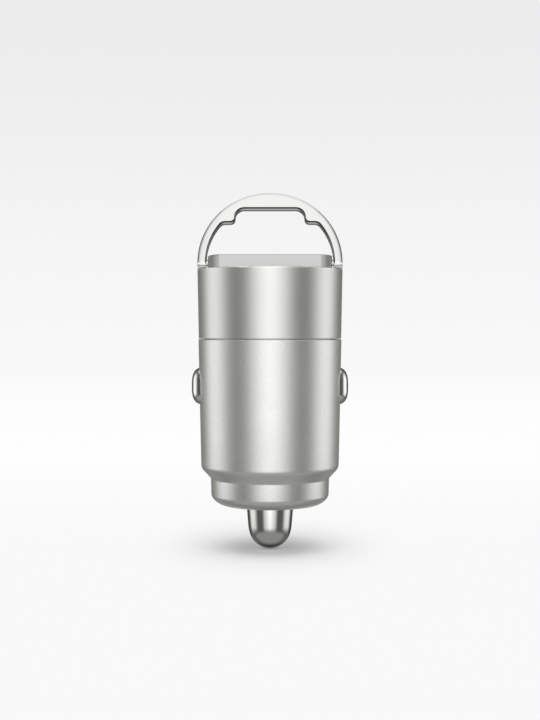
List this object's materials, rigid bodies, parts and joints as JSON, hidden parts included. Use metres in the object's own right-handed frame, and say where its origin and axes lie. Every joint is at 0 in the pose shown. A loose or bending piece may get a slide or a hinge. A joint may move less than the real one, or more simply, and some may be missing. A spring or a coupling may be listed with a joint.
{
  "type": "car usb charger plug",
  "caption": "Small all-metal charger plug for a car's accessory socket, with power ports on its top platform under a hinged pull ring, and sprung tip and side contacts.",
  "frame": {"origin": "lowest point of the domed tip, on the plug's axis", "axes": "+Z from the tip up to the ports, X across the two side contacts and along the ring's hinge, -Y towards the front of the picture"},
  "size_m": [0.0238, 0.022, 0.0541],
  "materials": {
    "shell_metal": "fine bead-blasted, clear anodised",
    "ring_metal": "satin, clear anodised",
    "pin_steel": "ground",
    "contact_metal": "polished nickel plate",
    "insert_plastic": "fine spark-eroded grain",
    "bush_plastic": "as moulded",
    "frame_plastic": "as moulded",
    "spring_steel": "drawn wire",
    "seat_brass": "turned",
    "board_laminate": "green solder mask",
    "port_steel": "bright tin plate",
    "tongue_plastic": "as moulded",
    "contact_gold": "gold plate",
    "inductor_block": "pressed iron powder",
    "can_metal": "drawn can",
    "chip_epoxy": "moulded epoxy",
    "fuse_ceramic": "glazed"
  },
  "bodies": {
    "housing": {"barrel": "shell_metal", "head_shell": "shell_metal", "port_insert": "insert_plastic", "ring_pin_left": "pin_steel", "ring_pin_right": "pin_steel", "nose_bush": "bush_plastic", "tip_spring": "spring_steel", "spring_seat": "seat_brass", "board_carrier": "frame_plastic", "circuit_board": "board_laminate", "usb_a_shell": "port_steel", "usb_a_tongue": "tongue_plastic", "usb_a_contacts": "contact_gold", "usb_c_shell": "port_steel", "usb_c_tongue": "tongue_plastic", "usb_c_contacts": "contact_gold", "power_inductor": "inductor_block", "input_capacitor": "can_metal", "output_capacitor": "can_metal", "controller_chip": "chip_epoxy", "power_switch": "chip_epoxy", "input_fuse": "fuse_ceramic"},
    "ring": {"pull_ring": "ring_metal"},
    "tip": {"tip_contact": "contact_metal"},
    "contact_left": {"ground_contact_left": "contact_metal"},
    "contact_right": {"ground_contact_right": "contact_metal"}
  },
  "joints": [
    {"name": "ring_swing", "type": "hinge", "parent": "housing", "child": "ring", "pos_m": [0, 0, 0.04325], "axis": [1, 0, 0], "range_deg": [-76, 104]},
    {"name": "tip_slide", "type": "slide", "parent": "housing", "child": "tip", "axis": [0, 0, 1], "range_m": [0, 0.0022], "stiffness_N_per_m": 1500, "springref_m": -0.0015, "deforming": ["tip_spring"]},
    {"name": "contact_left_bend", "type": "hinge", "parent": "housing", "child": "contact_left", "pos_m": [-0.00887, 0, 0.0139], "axis": [0, 1, 0], "range_deg": [0, 6.3], "stiffness_Nm_per_rad": 0.3, "springref_deg": -1.72},
    {"name": "contact_right_bend", "type": "hinge", "parent": "housing", "child": "contact_right", "pos_m": [0.00887, 0, 0.0139], "axis": [0, -1, 0], "range_deg": [0, 6.3], "stiffness_Nm_per_rad": 0.3, "springref_deg": -1.72}
  ]
}
